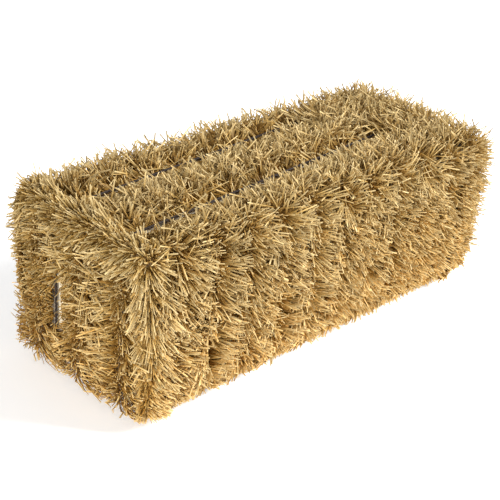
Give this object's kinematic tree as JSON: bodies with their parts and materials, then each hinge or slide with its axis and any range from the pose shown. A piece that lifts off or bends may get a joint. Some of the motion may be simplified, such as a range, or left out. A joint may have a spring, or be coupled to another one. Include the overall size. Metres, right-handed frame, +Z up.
{
  "type": "square hay bale",
  "caption": "Small decorative square hay bale: a foam block wrapped in rows of straw brush garland, held by black cord ties along its length.",
  "frame": {"origin": "on the surface that the bale rests on, under the middle of the bale", "axes": "+X along the bale's length, +Y towards its back, +Z up"},
  "size_m": [0.33, 0.147, 0.126],
  "materials": {
    "foam": "matte",
    "straw": "dry fibre with a slight sheen",
    "cord": "twisted cord"
  },
  "bodies": {
    "root": {"foam_core": "foam", "straw_wrap_01": "straw", "straw_wrap_02": "straw", "straw_wrap_03": "straw", "straw_wrap_04": "straw", "straw_wrap_05": "straw", "straw_wrap_06": "straw", "straw_wrap_07": "straw", "straw_wrap_08": "straw", "straw_wrap_09": "straw", "straw_wrap_10": "straw", "straw_wrap_11": "straw", "straw_wrap_12": "straw", "end_strand_left_01": "straw", "end_strand_left_02": "straw", "end_strand_left_03": "straw", "end_strand_right_01": "straw", "end_strand_right_02": "straw", "end_strand_right_03": "straw", "tie_front": "cord", "tie_back": "cord"}
  },
  "joints": []
}
